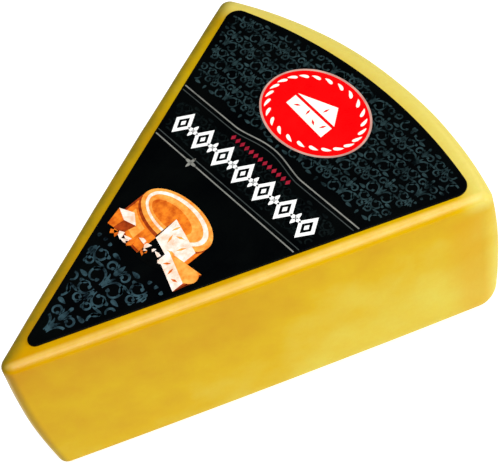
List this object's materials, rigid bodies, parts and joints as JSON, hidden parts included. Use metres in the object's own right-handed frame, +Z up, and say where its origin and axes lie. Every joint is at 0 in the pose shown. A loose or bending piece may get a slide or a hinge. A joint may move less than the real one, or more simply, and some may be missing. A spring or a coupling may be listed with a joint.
{
  "type": "parmesan cheese wedge",
  "caption": "Packed wedge of hard cheese with a rounded rind, softly rounded edges and a printed label covering most of its flat top face.",
  "frame": {"origin": "middle of the wedge's length and width, on the surface that it rests on", "axes": "+X from the tip towards the rind, +Y across the wedge, +Z up through the label"},
  "size_m": [0.1086, 0.087, 0.0426],
  "materials": {
    "cheese": "golden yellow hard cheese under a clear skin-tight film, with a soft sheen",
    "label": "near-black satin printed film with a grey-teal scroll pattern"
  },
  "bodies": {
    "root": {"cheese": "cheese", "label": "label"}
  },
  "joints": []
}
